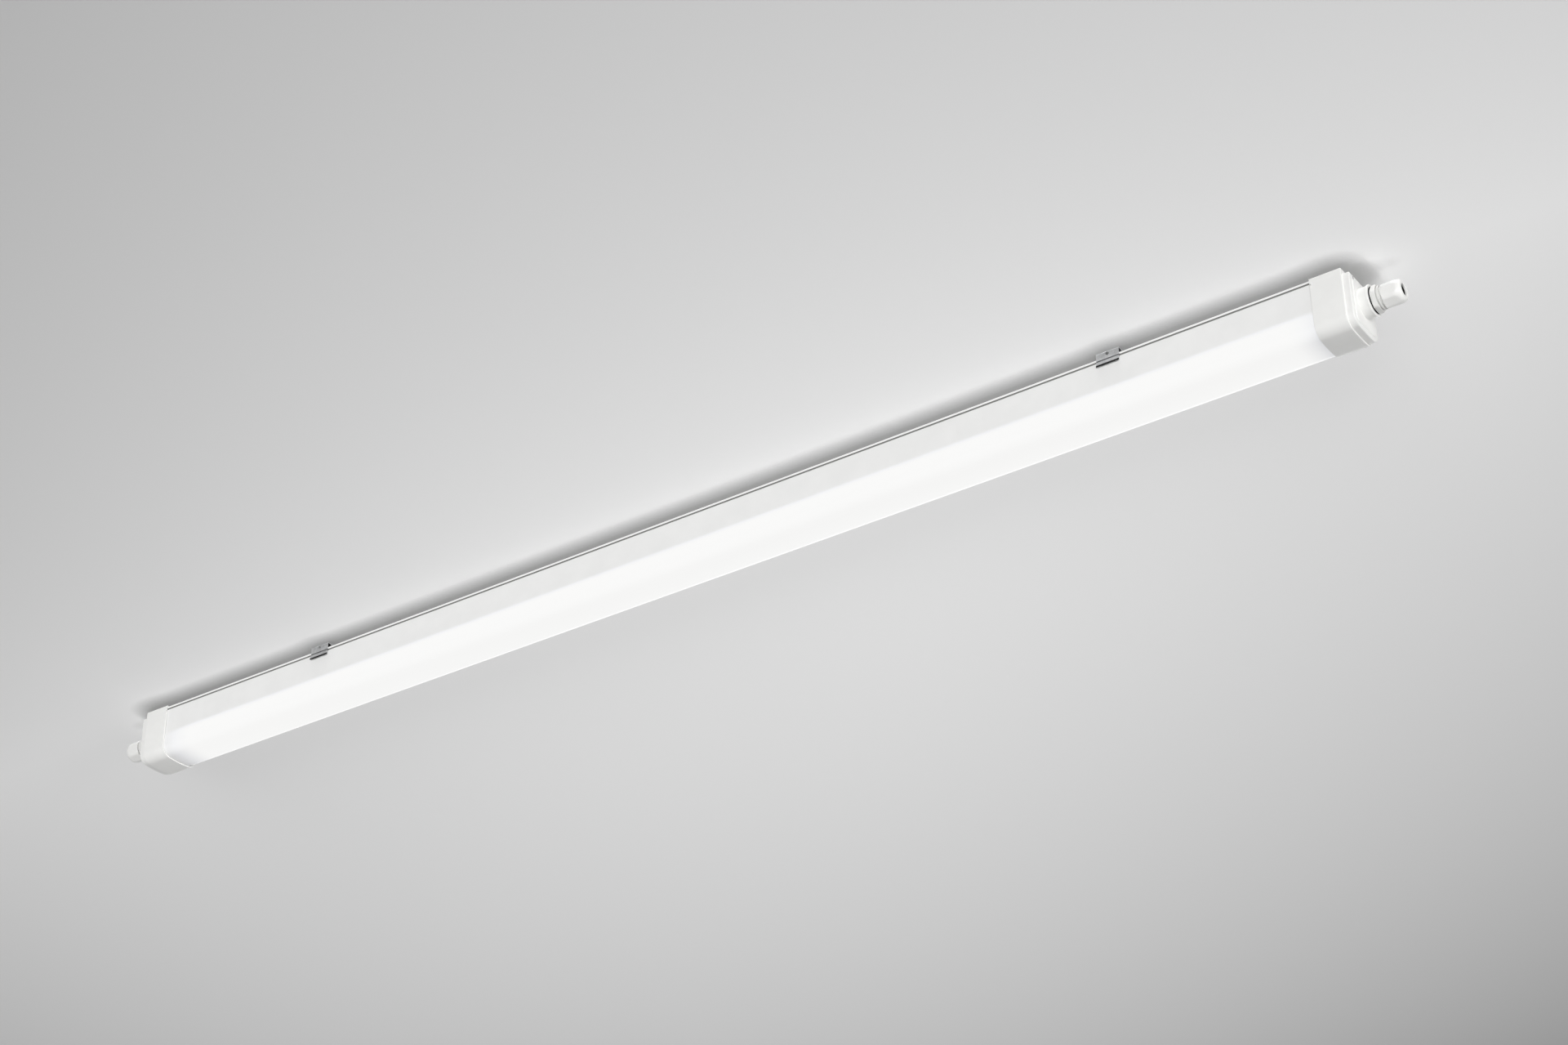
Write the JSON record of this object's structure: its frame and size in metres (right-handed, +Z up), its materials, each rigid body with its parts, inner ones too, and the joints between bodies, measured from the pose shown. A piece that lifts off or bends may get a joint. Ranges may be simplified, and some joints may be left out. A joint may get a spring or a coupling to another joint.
{
  "type": "vapor tight light fixture",
  "caption": "Long sealed ceiling light: an opal tube with an LED gear tray inside, end caps with cable glands, hung on clips.",
  "frame": {"origin": "on the ceiling plane, midway between the two mounting clips", "axes": "+X along the fixture towards the end with the terminal block and driver, +Z up to the ceiling, +Y across"},
  "size_m": [1.579, 0.0548, 0.0666],
  "materials": {
    "opal_polycarbonate": "satin opal",
    "white_moulding": "fine moulded texture",
    "white_painted_steel": "semi-gloss white",
    "stainless_steel": "rolled sheet, pressed",
    "zinc_plated_steel": "zinc plated",
    "black_rubber": "matt",
    "grey_rubber": "matt",
    "white_solder_mask": "white solder mask",
    "green_solder_mask": "green solder mask",
    "light_grey_nylon": "moulded nylon",
    "brown_insulation": "extruded",
    "blue_insulation": "extruded",
    "green_insulation": "extruded",
    "red_insulation": "extruded",
    "black_insulation": "extruded"
  },
  "bodies": {
    "ceiling_clips": {"mounting_clip_left": "stainless_steel", "mounting_clip_right": "stainless_steel"},
    "housing": {"opal_tube": "opal_polycarbonate"},
    "gear_insert": {"gear_tray": "white_painted_steel", "led_board_1": "white_solder_mask", "led_board_2": "white_solder_mask", "led_board_3": "white_solder_mask", "led_board_4": "white_solder_mask", "led_board_5": "white_solder_mask", "board_screw_1": "zinc_plated_steel", "board_screw_2": "zinc_plated_steel", "board_screw_3": "zinc_plated_steel", "board_screw_4": "zinc_plated_steel", "board_screw_5": "zinc_plated_steel", "board_link_1": "white_moulding", "board_link_2": "white_moulding", "board_link_3": "white_moulding", "board_link_4": "white_moulding", "driver_base": "zinc_plated_steel", "driver_cover": "zinc_plated_steel", "driver_circuit_board": "green_solder_mask", "driver_input_connector": "white_moulding", "driver_output_connector": "white_moulding", "driver_screw_1": "zinc_plated_steel", "driver_screw_2": "zinc_plated_steel", "terminal_block": "white_moulding", "earth_ring": "zinc_plated_steel", "earth_screw": "zinc_plated_steel", "neutral_wire": "blue_insulation", "live_wire": "brown_insulation", "earth_wire": "green_insulation", "board_plus_wire": "red_insulation", "board_minus_wire": "black_insulation", "tray_screw_1": "zinc_plated_steel", "tray_screw_2": "zinc_plated_steel", "end_cap_right": "white_moulding", "end_cap_gasket_right": "grey_rubber", "gland_washer_right": "black_rubber", "gland_body_right": "light_grey_nylon"},
    "left_cap": {"end_cap_left": "white_moulding", "end_cap_gasket_left": "grey_rubber", "gland_washer_left": "black_rubber", "gland_body_left": "light_grey_nylon"},
    "right_seal": {"gland_seal_right": "black_rubber"},
    "right_nut": {"gland_nut_right": "white_moulding"},
    "left_seal": {"gland_seal_left": "black_rubber"},
    "left_nut": {"gland_nut_left": "white_moulding"},
    "neutral_button": {"terminal_button_neutral": "light_grey_nylon"},
    "live_button": {"terminal_button_live": "light_grey_nylon"},
    "earth_button": {"terminal_button_earth": "light_grey_nylon"}
  },
  "joints": [
    {"name": "housing_slide", "type": "slide", "parent": "ceiling_clips", "child": "housing", "axis": [1, 0, 0], "range_m": [-0.19, 0.21]},
    {"name": "gear_slide", "type": "slide", "parent": "housing", "child": "gear_insert", "axis": [1, 0, 0], "range_m": [0, 0.5]},
    {"name": "left_cap_slide", "type": "slide", "parent": "housing", "child": "left_cap", "axis": [-1, 0, 0], "range_m": [0, 0.04]},
    {"name": "right_seal_slide", "type": "slide", "parent": "gear_insert", "child": "right_seal", "axis": [1, 0, 0], "range_m": [0, 0.0026]},
    {"name": "right_nut_turn", "type": "hinge", "parent": "right_seal", "child": "right_nut", "pos_m": [0.768, 0, -0.0327], "axis": [1, 0, 0], "range_deg": [0, 600]},
    {"name": "left_seal_slide", "type": "slide", "parent": "left_cap", "child": "left_seal", "axis": [-1, 0, 0], "range_m": [0, 0.0026]},
    {"name": "left_nut_turn", "type": "hinge", "parent": "left_seal", "child": "left_nut", "pos_m": [-0.792, 0, -0.0327], "axis": [-1, 0, 0], "range_deg": [0, 600]},
    {"name": "neutral_button_press", "type": "slide", "parent": "gear_insert", "child": "neutral_button", "axis": [0, 0, 1], "range_m": [-0.0015, 0], "stiffness_N_per_m": 300},
    {"name": "live_button_press", "type": "slide", "parent": "gear_insert", "child": "live_button", "axis": [0, 0, 1], "range_m": [-0.0015, 0], "stiffness_N_per_m": 300},
    {"name": "earth_button_press", "type": "slide", "parent": "gear_insert", "child": "earth_button", "axis": [0, 0, 1], "range_m": [-0.0015, 0], "stiffness_N_per_m": 300}
  ],
  "couplings": [
    {"joint": "right_seal_slide", "follows": "right_nut_turn", "m_per_rad": 0.00023873},
    {"joint": "left_seal_slide", "follows": "left_nut_turn", "m_per_rad": 0.00023873}
  ]
}
